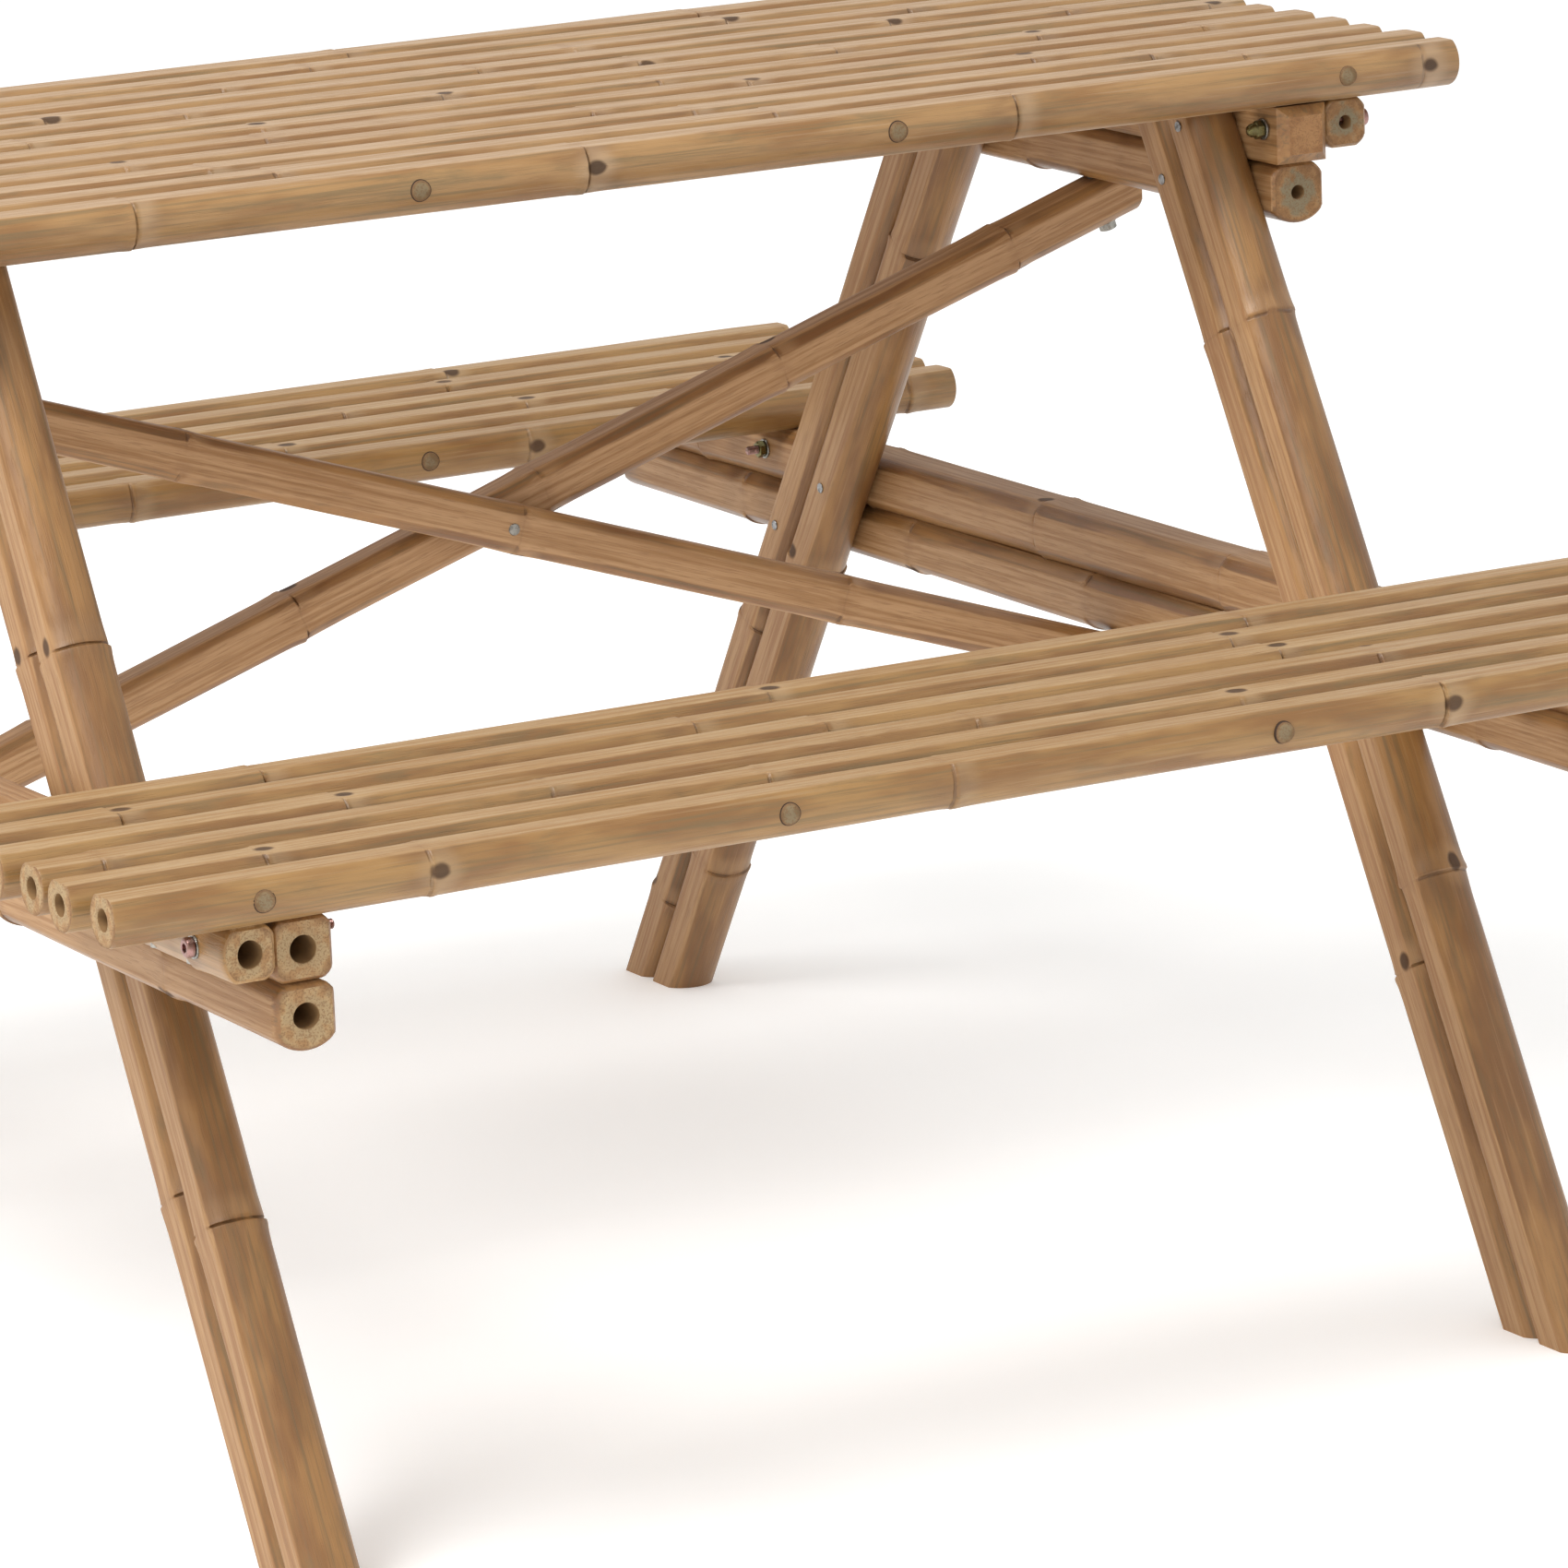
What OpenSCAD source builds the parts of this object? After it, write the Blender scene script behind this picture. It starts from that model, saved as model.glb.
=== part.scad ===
// Bamboo picnic table with two attached benches.
// Every pole, dowel, bolt, nut, nail and screw is its own solid.
// Units are millimetres, +Z is up, X runs along the table, Y across it.
// The origin is on the floor in the middle of the table.

/* [Overall] */
// height of the tabletop above the floor
table_h = 750; // [700:5:800]
// length of the tabletop slats
top_len = 1154; // [1120:2:1400]
// height of the bench tops above the floor
seat_h = 449; // [420:1:480]
// length of the bench slats
seat_len = 1164; // [1130:2:1400]
// distance from the table middle to the outer edge of a bench
seat_reach = 667; // [650:1:760]

/* [Slats] */
// diameter of a tabletop slat
top_d = 33; // [31:0.5:35]
// spacing of the tabletop slats, centre to centre
top_pitch = 42; // [40:0.5:46]
// diameter of a bench slat
seat_d = 32; // [30:0.5:34]
// spacing of the bench slats, centre to centre
seat_pitch = 46; // [42:0.5:48]
// depth planed off the top of each slat
plane_top = 3; // [1:0.25:4]
// depth skimmed off the underside of each slat, where it rests on the battens
plane_under = 1; // [0.5:0.25:2]
// bore down the middle of a slat
slat_bore = 13; // [8:0.5:16]
// how far slat ends run short of full length, at most
end_wander = 5; // [0:0.5:8]

/* [Dowels] */
// diameter of the cane dowels that thread the slats together
dowel_d = 12.5; // [10:0.5:14]
// hollow down the middle of a dowel
dowel_bore = 3; // [2:0.5:5]
// distance from the table middle to the two inner dowels
dowel_in = 163; // [120:1:240]
// how far inside a batten's middle line the outer dowels run
dowel_offset = 6; // [4:0.5:10]

/* [Frames] */
// width across the flats of the bearer poles
bearer_w = 38; // [35:0.5:40]
// width across the flats of the leg poles
leg_w = 36; // [30:0.5:37]
// width across the flats of the batten poles
batten_w = 31.5; // [30:0.5:37]
// bore down the middle of bearers, legs, battens and braces
pole_bore = 16; // [8:0.5:17]
// overhang of the shorter slats past the inner face of a bearer
overhang = 136; // [110:1:147]
// how far the upper top bearer stops short of the tabletop edge
top_bearer_short = 5.5; // [3:0.5:22]
// how far the lower top bearer stops short of the upper one at the front
low_short_front = 11; // [4:1:24]
// how far the lower top bearer stops short of the upper one at the rear
low_short_rear = 34; // [20:1:42]
// how far the bench bearers stop short of the bench edge
seat_bearer_short = 15; // [8:1:35]
// how far a front foot stands inside the bench edge
foot_inset_front = 77; // [30:1:90]
// how far a rear foot stands inside the bench edge
foot_inset_rear = 45; // [30:1:90]
// how far a front leg meets the top inside the tabletop edge
shoulder_inset_front = 55.5; // [46:0.5:68]
// how far a rear leg meets the top inside the tabletop edge
shoulder_inset_rear = 92.5; // [60:0.5:100]

/* [Braces] */
// width across the flats of the brace poles
brace_w = 30.5; // [30:0.5:36]
// how far in under a bench bearer the top of a brace meets its underside
brace_seat = 10.5; // [9.5:0.5:16]
// how far past the bearers' inner face the upper mitre of a brace starts
brace_bite = 17; // [4:1:18]
// distance a brace runs past the inner face of the bearers
brace_past = 46; // [42:1:54]

/* [Fastenings] */
// bolt diameter
bolt_d = 6; // [5:0.5:8]
// distance from a top batten bolt to the end of the upper top bearer
top_bolt_inset = 20; // [18:1:28]
// distance from an inner bench bolt to the batten end
seat_bolt_inset_in = 25; // [18:1:36]
// distance from an outer bench bolt to the batten end
seat_bolt_inset_out = 36; // [24:1:38]
// diameter of the wood screws under the battens
screw_d = 4; // [3.5:0.5:5]
// how far outside a batten's middle line its screws stand
screw_offset = 9; // [8:0.5:12]
// nail diameter
nail_d = 3; // [2.5:0.5:4]
// diameter of the pin where the braces cross
pin_d = 5; // [4:0.5:6]

/* [Fits] */
// gap all round a dowel in its slat
dowel_clear = 0.2; // [0.1:0.05:0.4]
// gap all round a bolt in its hole
bolt_clear = 0.3; // [0.2:0.05:0.5]
// gap all round a nail, screw or pin in its hole
nail_clear = 0.1; // [0.05:0.05:0.2]

/* [View] */
// which sub-part to show

/* [Hidden] */
$fn = 48;
top_n = 12;
seat_n = 6;
// heights where things rest on each other
top_under = table_h - top_d + plane_top + plane_under;
top_axis = top_under - plane_under + top_d / 2;
seat_under = seat_h - seat_d + plane_top + plane_under;
seat_axis = seat_under - plane_under + seat_d / 2;
top_mid_z = [top_under - bearer_w / 2, top_under - 1.5 * bearer_w];
seat_mid_z = [seat_under - bearer_w / 2, seat_under - 1.5 * bearer_w];
top_stack_low = top_under - 2 * bearer_w;
seat_stack_low = seat_under - 2 * bearer_w;
top_batten_z = top_under - batten_w / 2;
seat_batten_z = seat_under - batten_w / 2;

// positions out from the middle, along the table
bearer_in = min(top_len, seat_len) / 2 - overhang;
bearer_x = bearer_in + bearer_w / 2;
leg_x = bearer_in - leg_w / 2;
batten_in = bearer_in + bearer_w;
batten_x = batten_in + batten_w / 2;
screw_x = batten_x + screw_offset;
dowel_out = batten_x - dowel_offset;
dowel_at = [-dowel_out, -dowel_in, dowel_in, dowel_out];

// positions out from the middle, across the table
top_edge = (top_n - 1) * top_pitch / 2 + top_d / 2;
seat_first = seat_reach - seat_d / 2;
seat_last = seat_first - (seat_n - 1) * seat_pitch;
seat_inner_edge = seat_last - seat_d / 2;
seat_batten_out = seat_reach - 10;
seat_batten_in = seat_inner_edge + 8;
top_batten_half = top_edge - 14;
top_bearer_half = top_edge - top_bearer_short;
low_bearer_front = top_bearer_half - low_short_front;
low_bearer_rear = top_bearer_half - low_short_rear;
seat_bearer_half = seat_reach - seat_bearer_short;
shoulder_front = top_edge - shoulder_inset_front;
shoulder_rear = top_edge - shoulder_inset_rear;
top_bolt_y = top_bearer_half - top_bolt_inset;
seat_bolt_in = seat_batten_in + seat_bolt_inset_in;
seat_bolt_out = seat_batten_out - seat_bolt_inset_out;

// the crossed braces meet the undersides of both bearer stacks
brace_run = 2 * bearer_in + brace_bite + brace_seat;
brace_rise = top_stack_low - seat_stack_low;
brace_tilt = atan(brace_rise / brace_run);
brace_low_z = seat_stack_low + brace_seat * tan(brace_tilt);
brace_cross_z = brace_low_z + bearer_in * tan(brace_tilt) - brace_w / 2 / cos(brace_tilt);
brace_half = (bearer_in + brace_past) / cos(brace_tilt) + brace_w;

// hardware
head_d = bolt_d * 1.9;
head_h = bolt_d * 0.8;
nut_w = bolt_d * 1.7;
nut_h = bolt_d * 0.85;
washer_d = bolt_d * 2.3;
washer_h = 1.5;
tail = 8;
screw_len = batten_w + 14;
screw_head_d = screw_d * 2;
screw_head_h = 2.5;
screw_sink = 5;
nail_len = leg_w + 22;
nail_head_d = nail_d * 2.3;
nail_head_h = 1.2;
pin_head_d = pin_d * 1.6;
pin_head_h = 2;

// uneven slat ends, as cut by hand
function wander(i, s) = end_wander * (0.5 + 0.5 * sin(i * 137 + s * 71));

// y of each slat
function top_y(i) = (i - (top_n - 1) / 2) * top_pitch;
function seat_y(i) = seat_first - i * seat_pitch;

// a leg is two poles side by side in the plane of the frame, splayed outwards
// f is -1 for the front legs and 1 for the rear ones
function foot_reach(f) = seat_reach - (f < 0 ? foot_inset_front : foot_inset_rear);
function rake(f) = atan((foot_reach(f) - (f < 0 ? shoulder_front : shoulder_rear)) / top_under);

// how far out a leg pole's axis is at height z; k is 0.5 for the outer pole and 1.5 for the inner
function leg_y(f, z, k) = foot_reach(f) - k * leg_w / cos(rake(f)) - z * tan(rake(f));

// a brace end is high when side and s agree: where its screw sits and how long it is
function screw_past(side, s) = side * s > 0 ? 22 : 9;
function screw_reach(side, s) = side * s > 0 ? 50 : 60;

// ---------- shapes ----------

// round slat along X, planed on top and skimmed underneath, bored end to end
module slat_blank(d, x0, x1, bore) {
  difference() {
    intersection() {
      translate([x0, 0, 0]) rotate([0, 90, 0]) cylinder(d = d, h = x1 - x0);
      translate([x0 - 1, -d, -d / 2 + plane_under])
        cube([x1 - x0 + 2, 2 * d, d - plane_under - plane_top]);
    }
    translate([x0 - 1, 0, 0]) rotate([0, 90, 0]) cylinder(d = bore, h = x1 - x0 + 2);
  }
}

// squared pole along +Z from 0, with rounded corners, bevelled ends and a bore
module squared_pole(w, len, bore, bevel = 2, corner = 0.58) {
  r = w * corner;
  difference() {
    intersection() {
      union() {
        cylinder(r1 = r - bevel, r2 = r, h = bevel);
        translate([0, 0, bevel]) cylinder(r = r, h = len - 2 * bevel);
        translate([0, 0, len - bevel]) cylinder(r1 = r, r2 = r - bevel, h = bevel);
      }
      translate([-w / 2, -w / 2, -1]) cube([w, w, len + 2]);
    }
    translate([0, 0, -1]) cylinder(d = bore, h = len + 2);
  }
}

// the same pole laid along Y between y0 and y1
module pole_y(w, y0, y1, bore, bevel = 2, corner = 0.58) {
  translate([0, y0, 0]) rotate([-90, 0, 0]) squared_pole(w, y1 - y0, bore, bevel, corner);
}

// straight holes used as cutters
module hole_x(x0, x1, d) {
  translate([x0, 0, 0]) rotate([0, 90, 0]) cylinder(d = d, h = x1 - x0, $fn = 24);
}

module hole_y(y0, y1, d) {
  translate([0, y0, 0]) rotate([-90, 0, 0]) cylinder(d = d, h = y1 - y0, $fn = 24);
}

module hole_z(z0, z1, d) {
  translate([0, 0, z0]) cylinder(d = d, h = z1 - z0, $fn = 24);
}

// ---------- where the fastenings go ----------

// s is -1 for the left frame and 1 for the right one
function top_bolts() = [-top_bolt_y, top_bolt_y];
function seat_bolts() = [-seat_bolt_out, -seat_bolt_in, seat_bolt_in, seat_bolt_out];

// each row is a nail's height and the leg pole it goes through
nail_rows = [
  [top_mid_z[0] + 4, 0.5], [top_mid_z[1] + 6, 1.5],
  [seat_mid_z[0] + 1, 1.5], [seat_mid_z[1] + 3, 0.5]];

// every nail starts on a leg's inner side and points outwards
module each_nail(s) {
  for (f = [-1, 1]) {
    for (n = nail_rows) {
      translate([s * (bearer_in - leg_w), f * leg_y(f, n[0], n[1]), n[0]])
        rotate([0, s * 90, 0]) children();
    }
  }
}

module nail_holes(s) {
  each_nail(s) hole_z(-5, nail_len + 1, nail_d + 2 * nail_clear);
}

module bolt_holes(s) {
  for (y = top_bolts()) {
    translate([s * batten_in - 60, y, top_batten_z]) hole_x(0, 120, bolt_d + 2 * bolt_clear);
  }
  for (y = seat_bolts()) {
    translate([s * batten_in - 60, y, seat_batten_z]) hole_x(0, 120, bolt_d + 2 * bolt_clear);
  }
}

// the outermost slats are held by the dowels only, so they get no screws
module each_top_screw() {
  for (s = [-1, 1]) {
    for (i = [1 : top_n - 2]) translate([s * screw_x, top_y(i), top_under]) children();
  }
}

module each_seat_screw(f) {
  for (s = [-1, 1]) {
    for (i = [1 : seat_n - 2]) translate([s * screw_x, f * seat_y(i), seat_under]) children();
  }
}

module screw_hole() {
  hole_z(-batten_w - 5, screw_len - batten_w + 1, screw_d + 2 * nail_clear);
  hole_z(-batten_w - 5, -batten_w + screw_sink, screw_head_d + 2 * nail_clear);
}

// ---------- slats and dowels ----------

module top_slat(i) {
  color("#c9a26b") {
    difference() {
      translate([0, top_y(i), top_axis])
        slat_blank(top_d, -top_len / 2 + wander(i, 1), top_len / 2 - wander(i, 2), slat_bore);
      for (x = dowel_at) {
        translate([x, top_y(i), top_axis]) hole_y(-top_d, top_d, dowel_d + 2 * dowel_clear);
      }
      if (i > 0 && i < top_n - 1) each_slat_screw(top_y(i), top_under);
    }
  }
}

// f is -1 for the front bench and 1 for the rear one; slat 0 is the outermost
module seat_slat(f, i) {
  color("#c39b62") {
    difference() {
      translate([0, f * seat_y(i), seat_axis])
        slat_blank(seat_d, -seat_len / 2 + wander(i, 3 + f), seat_len / 2 - wander(i, 5 + f),
          slat_bore);
      for (x = dowel_at) {
        translate([x, f * seat_y(i), seat_axis]) hole_y(-seat_d, seat_d, dowel_d + 2 * dowel_clear);
      }
      if (i > 0 && i < seat_n - 1) each_slat_screw(f * seat_y(i), seat_under);
    }
  }
}

// the two screw holes in the slat at y, one over each batten
module each_slat_screw(y, z) {
  for (s = [-1, 1]) translate([s * screw_x, y, z]) screw_hole();
}

module dowel_set(y0, y1, z) {
  color("#b08d57") {
    for (x = dowel_at) {
      translate([x, 0, z]) {
        difference() {
          hole_y(y0, y1, dowel_d);
          hole_y(y0 - 1, y1 + 1, dowel_bore);
        }
      }
    }
  }
}

module top_dowels() {
  dowel_set(-top_edge + 0.3, top_edge - 0.3, top_axis);
}

module front_dowels() {
  dowel_set(-seat_reach + 0.3, -seat_inner_edge - 0.3, seat_axis);
}

module rear_dowels() {
  dowel_set(seat_inner_edge + 0.3, seat_reach - 0.3, seat_axis);
}

// ---------- battens ----------

module top_batten(s) {
  color("#c29a63") {
    difference() {
      translate([s * batten_x, 0, top_batten_z])
        pole_y(batten_w, -top_batten_half, top_batten_half, pole_bore * 0.55);
      bolt_holes(s);
      each_top_screw() screw_hole();
    }
  }
}

module seat_batten(s, f) {
  y0 = f > 0 ? seat_batten_in : -seat_batten_out;
  color("#c29a63") {
    difference() {
      translate([s * batten_x, 0, seat_batten_z])
        pole_y(batten_w, y0, y0 + seat_batten_out - seat_batten_in, pole_bore);
      bolt_holes(s);
      each_seat_screw(f) screw_hole();
    }
  }
}

// ---------- frames ----------

module leg_pole(s, f, k) {
  color("#b98c58") {
    difference() {
      intersection() {
        translate([s * leg_x, f * leg_y(f, 0, k), 0]) rotate([f * rake(f), 0, 0])
          translate([0, 0, -2 * leg_w])
            squared_pole(leg_w, top_under / cos(rake(f)) + 4 * leg_w, pole_bore);
        translate([s * leg_x - leg_w, -seat_reach - 100, 0])
          cube([2 * leg_w, 2 * seat_reach + 200, top_under]);
      }
      nail_holes(s);
      if (s > 0 && f < 0 && k < 1) bent_nail(nail_d + 2 * nail_clear);
    }
  }
}

module top_bearer_upper(s) {
  color("#bd9560") {
    difference() {
      translate([s * bearer_x, 0, top_mid_z[0]])
        pole_y(bearer_w, -top_bearer_half, top_bearer_half, pole_bore * 0.45, 9, 0.66);
      bolt_holes(s);
      nail_holes(s);
      if (s > 0) bent_nail(nail_d + 2 * nail_clear);
    }
  }
}

// the rear end is trimmed underneath in a long bevel
module top_bearer_lower(s) {
  color("#bd9560") {
    difference() {
      translate([s * bearer_x, 0, top_mid_z[1]])
        pole_y(bearer_w, -low_bearer_front, low_bearer_rear, pole_bore * 0.6);
      translate([s * bearer_x - bearer_w, low_bearer_rear - 52, top_stack_low])
        rotate([20, 0, 0]) translate([0, 0, -bearer_w]) cube([2 * bearer_w, 90, bearer_w]);
      nail_holes(s);
      brace_screw_holes(s);
    }
  }
}

module seat_bearer(s, upper) {
  color("#bd9560") {
    difference() {
      translate([s * bearer_x, 0, seat_mid_z[upper ? 0 : 1]])
        pole_y(bearer_w, -seat_bearer_half, seat_bearer_half, pole_bore, 3);
      nail_holes(s);
      bolt_holes(s);
      brace_screw_holes(s);
    }
  }
}

// ---------- braces ----------

// side is -1 for the brace nearer the front, which falls from left to right
module place_brace(side) {
  translate([0, side * brace_w / 2, brace_cross_z]) rotate([0, -side * brace_tilt, 0])
    children();
}

// each end screw is square to its brace, with its head on the underside
module place_brace_screw(side, s) {
  place_brace(side)
    translate([s * (bearer_in + screw_past(side, s)) / cos(brace_tilt), 0, -brace_w / 2])
      children();
}

module brace_screw_holes(s) {
  for (side = [-1, 1]) {
    place_brace_screw(side, s) hole_z(-10, screw_reach(side, s) + 1, bolt_d + 2 * nail_clear);
  }
}

module brace(side) {
  color("#ad7f4c") {
    difference() {
      place_brace(side)
        translate([-brace_half, 0, 0]) rotate([0, 90, 0])
          squared_pole(brace_w, 2 * brace_half, pole_bore);
      // mitre under the top bearer
      translate([-table_h, -100, top_stack_low]) cube([2 * table_h, 200, 200]);
      // notch under the bench bearer, at the low end
      translate([-side * (bearer_in + 100) - 100, -100, seat_stack_low]) cube([200, 200, 100]);
      // upright cuts across both tips
      for (s = [-1, 1]) {
        translate([s * (bearer_in + brace_past + 100) - 100, -100, 0]) cube([200, 200, table_h]);
        brace_screw_holes(s);
      }
      hole_at_pin();
    }
  }
}

module hole_at_pin() {
  translate([0, 0, brace_cross_z]) hole_y(-2 * brace_w, 2 * brace_w, pin_d + 2 * nail_clear);
}

// ---------- fastenings ----------

// points along +X from the outer face of a batten, mirrored for the left frame
module each_batten_bolt() {
  for (s = [-1, 1]) {
    for (y = top_bolts()) {
      translate([s * (batten_in + batten_w), y, top_batten_z]) rotate([0, s * 90, 0]) children();
    }
    for (y = seat_bolts()) {
      translate([s * (batten_in + batten_w), y, seat_batten_z]) rotate([0, s * 90, 0]) children();
    }
  }
}

grip = batten_w + bearer_w;

module batten_bolts() {
  color("#c9b46a") {
    each_batten_bolt() {
      difference() {
        union() {
          translate([0, 0, washer_h]) cylinder(d = head_d, h = head_h, $fn = 32);
          translate([0, 0, -grip - washer_h - nut_h - tail])
            cylinder(d = bolt_d, h = grip + nut_h + tail + 2 * washer_h + 1, $fn = 32);
        }
        translate([0, 0, washer_h + head_h - 2.5]) cylinder(d = bolt_d * 0.95, h = 5, $fn = 6);
      }
    }
  }
}

module batten_nuts() {
  color("#c9b46a") {
    each_batten_bolt() {
      translate([0, 0, -grip - washer_h - nut_h]) {
        difference() {
          cylinder(d = nut_w / cos(30), h = nut_h, $fn = 6);
          translate([0, 0, -1]) cylinder(d = bolt_d + 0.2, h = nut_h + 2, $fn = 32);
        }
      }
    }
  }
}

module batten_washers() {
  color("#b9b4a6") {
    each_batten_bolt() {
      for (z = [0, -grip - washer_h]) {
        translate([0, 0, z]) {
          difference() {
            cylinder(d = washer_d, h = washer_h, $fn = 32);
            translate([0, 0, -1]) cylinder(d = bolt_d + 2 * bolt_clear, h = washer_h + 2, $fn = 32);
          }
        }
      }
    }
  }
}

module each_brace_screw() {
  for (side = [-1, 1]) {
    for (s = [-1, 1]) {
      place_brace_screw(side, s) children();
    }
  }
}

module brace_screws() {
  color("#b9b4a6") {
    for (side = [-1, 1]) {
      for (s = [-1, 1]) {
        place_brace_screw(side, s) {
          hole_z(-washer_h - 1, screw_reach(side, s), bolt_d);
          hole_z(-washer_h - head_h, -washer_h, head_d);
        }
      }
    }
  }
}

module brace_washers() {
  color("#b9b4a6") {
    each_brace_screw() {
      translate([0, 0, -washer_h]) {
        difference() {
          cylinder(d = washer_d, h = washer_h, $fn = 32);
          translate([0, 0, -1]) cylinder(d = bolt_d + 2 * bolt_clear, h = washer_h + 2, $fn = 32);
        }
      }
    }
  }
}

module crossing_pin() {
  color("#c8c8c8") {
    translate([0, -brace_w, brace_cross_z]) {
      hole_y(0, 2 * brace_w - 6, pin_d);
      hole_y(-pin_head_h, 0.5, pin_head_d);
    }
  }
}

// the nail that bent over instead of going in, near the top of the right front leg
bent_z = top_mid_z[0] + 8;
bent_y = -leg_y(-1, bent_z, 0.5) - 8;

module bent_nail(d) {
  translate([bearer_in - leg_w, bent_y, bent_z]) hole_x(-4, leg_w + 6, d);
}

module nails() {
  color("#8d8f92") {
    for (s = [-1, 1]) {
      each_nail(s) {
        hole_z(0, nail_len, nail_d);
        hole_z(-nail_head_h, 0, nail_head_d);
      }
    }
    bent_nail(nail_d);
    translate([bearer_in - leg_w - 4, bent_y - nail_d / 2, bent_z]) hole_y(0, 14, nail_d);
  }
}

module batten_screw() {
  hole_z(-batten_w + screw_sink, screw_len - batten_w, screw_d);
  hole_z(-batten_w + screw_sink - screw_head_h, -batten_w + screw_sink, screw_head_d);
}

module top_batten_screws() {
  color("#9a9a94") each_top_screw() batten_screw();
}

module seat_batten_screws() {
  color("#9a9a94") {
    for (f = [-1, 1]) each_seat_screw(f) batten_screw();
  }
}

// ---------- one line per sub-part ----------

top_slat(0);  // top_slat_01
top_slat(1);  // top_slat_02
top_slat(2);  // top_slat_03
top_slat(3);  // top_slat_04
top_slat(4);  // top_slat_05
top_slat(5);  // top_slat_06
top_slat(6);  // top_slat_07
top_slat(7);  // top_slat_08
top_slat(8);  // top_slat_09
top_slat(9);  // top_slat_10
top_slat(10);  // top_slat_11
top_slat(11);  // top_slat_12
seat_slat(-1, 0);  // front_slat_1
seat_slat(-1, 1);  // front_slat_2
seat_slat(-1, 2);  // front_slat_3
seat_slat(-1, 3);  // front_slat_4
seat_slat(-1, 4);  // front_slat_5
seat_slat(-1, 5);  // front_slat_6
seat_slat(1, 0);  // rear_slat_1
seat_slat(1, 1);  // rear_slat_2
seat_slat(1, 2);  // rear_slat_3
seat_slat(1, 3);  // rear_slat_4
seat_slat(1, 4);  // rear_slat_5
seat_slat(1, 5);  // rear_slat_6
top_dowels();
front_dowels();
rear_dowels();
top_batten(-1);  // top_batten_left
top_batten(1);  // top_batten_right
seat_batten(-1, -1);  // front_batten_left
seat_batten(1, -1);  // front_batten_right
seat_batten(-1, 1);  // rear_batten_left
seat_batten(1, 1);  // rear_batten_right
leg_pole(-1, -1, 0.5);  // left_leg_front_outer
leg_pole(-1, -1, 1.5);  // left_leg_front_inner
leg_pole(-1, 1, 0.5);  // left_leg_rear_outer
leg_pole(-1, 1, 1.5);  // left_leg_rear_inner
leg_pole(1, -1, 0.5);  // right_leg_front_outer
leg_pole(1, -1, 1.5);  // right_leg_front_inner
leg_pole(1, 1, 0.5);  // right_leg_rear_outer
leg_pole(1, 1, 1.5);  // right_leg_rear_inner
top_bearer_upper(-1);  // left_top_bearer_upper
top_bearer_lower(-1);  // left_top_bearer_lower
top_bearer_upper(1);  // right_top_bearer_upper
top_bearer_lower(1);  // right_top_bearer_lower
seat_bearer(-1, true);  // left_seat_bearer_upper
seat_bearer(-1, false);  // left_seat_bearer_lower
seat_bearer(1, true);  // right_seat_bearer_upper
seat_bearer(1, false);  // right_seat_bearer_lower
brace(-1);  // brace_front
brace(1);  // brace_rear
batten_bolts();
batten_nuts();
batten_washers();
brace_screws();
brace_washers();
crossing_pin();
nails();
top_batten_screws();
seat_batten_screws();
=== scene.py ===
# %% [markdown]
# # A bamboo picnic table with two attached benches
# The frame of this lesson is an exact model of the table: one solid for every pole, dowel, bolt and
# nail. Loading it first means that each prettier piece can be put exactly where the real one sits.
# The box of the exact model is kept, because the finished pieces have to stay inside it.

# %% Load the exact model
import math
import random

import bmesh
import bpy
from mathutils import Matrix, Vector


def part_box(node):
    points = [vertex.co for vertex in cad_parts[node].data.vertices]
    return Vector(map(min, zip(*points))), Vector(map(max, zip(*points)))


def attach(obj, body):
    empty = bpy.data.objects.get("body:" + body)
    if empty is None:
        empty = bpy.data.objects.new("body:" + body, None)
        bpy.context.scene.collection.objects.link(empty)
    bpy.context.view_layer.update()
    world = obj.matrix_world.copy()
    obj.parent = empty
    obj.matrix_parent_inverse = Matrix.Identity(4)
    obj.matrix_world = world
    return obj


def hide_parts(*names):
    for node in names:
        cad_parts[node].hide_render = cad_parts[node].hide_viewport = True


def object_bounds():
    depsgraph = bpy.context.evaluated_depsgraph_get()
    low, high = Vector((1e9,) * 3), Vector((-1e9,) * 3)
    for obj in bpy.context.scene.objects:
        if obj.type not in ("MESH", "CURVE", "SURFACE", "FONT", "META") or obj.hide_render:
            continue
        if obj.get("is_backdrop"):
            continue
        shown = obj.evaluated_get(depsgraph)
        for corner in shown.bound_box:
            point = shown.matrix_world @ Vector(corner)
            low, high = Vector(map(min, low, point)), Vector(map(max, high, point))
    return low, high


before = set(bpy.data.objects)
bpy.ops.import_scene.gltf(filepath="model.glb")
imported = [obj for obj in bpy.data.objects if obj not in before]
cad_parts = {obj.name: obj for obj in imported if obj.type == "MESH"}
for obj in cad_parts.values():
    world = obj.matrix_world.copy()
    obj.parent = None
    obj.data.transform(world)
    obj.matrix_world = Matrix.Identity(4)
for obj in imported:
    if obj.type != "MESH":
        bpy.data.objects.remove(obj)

cad_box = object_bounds()
MM = 0.001
print("the table is", [round(b - a, 4) for a, b in zip(*cad_box)], "m over all")

# %% [markdown]
# # The viewpoint
# The table is looked at from its front left corner, a little from above, through a long lens, so
# the slats stay almost parallel. A camera looks along its own -Z, so its matrix is built from the
# three directions right, up and backwards.

# %% Camera
yaw, pitch, roll = (math.radians(a) for a in (28.98, 12.93, -2.23))
forward = Vector((math.sin(yaw) * math.cos(pitch), math.cos(yaw) * math.cos(pitch), -math.sin(pitch)))
level = Vector((math.cos(yaw), -math.sin(yaw), 0))
upward = level.cross(forward)
right = level * math.cos(roll) + upward * math.sin(roll)
up = upward * math.cos(roll) - level * math.sin(roll)

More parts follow.
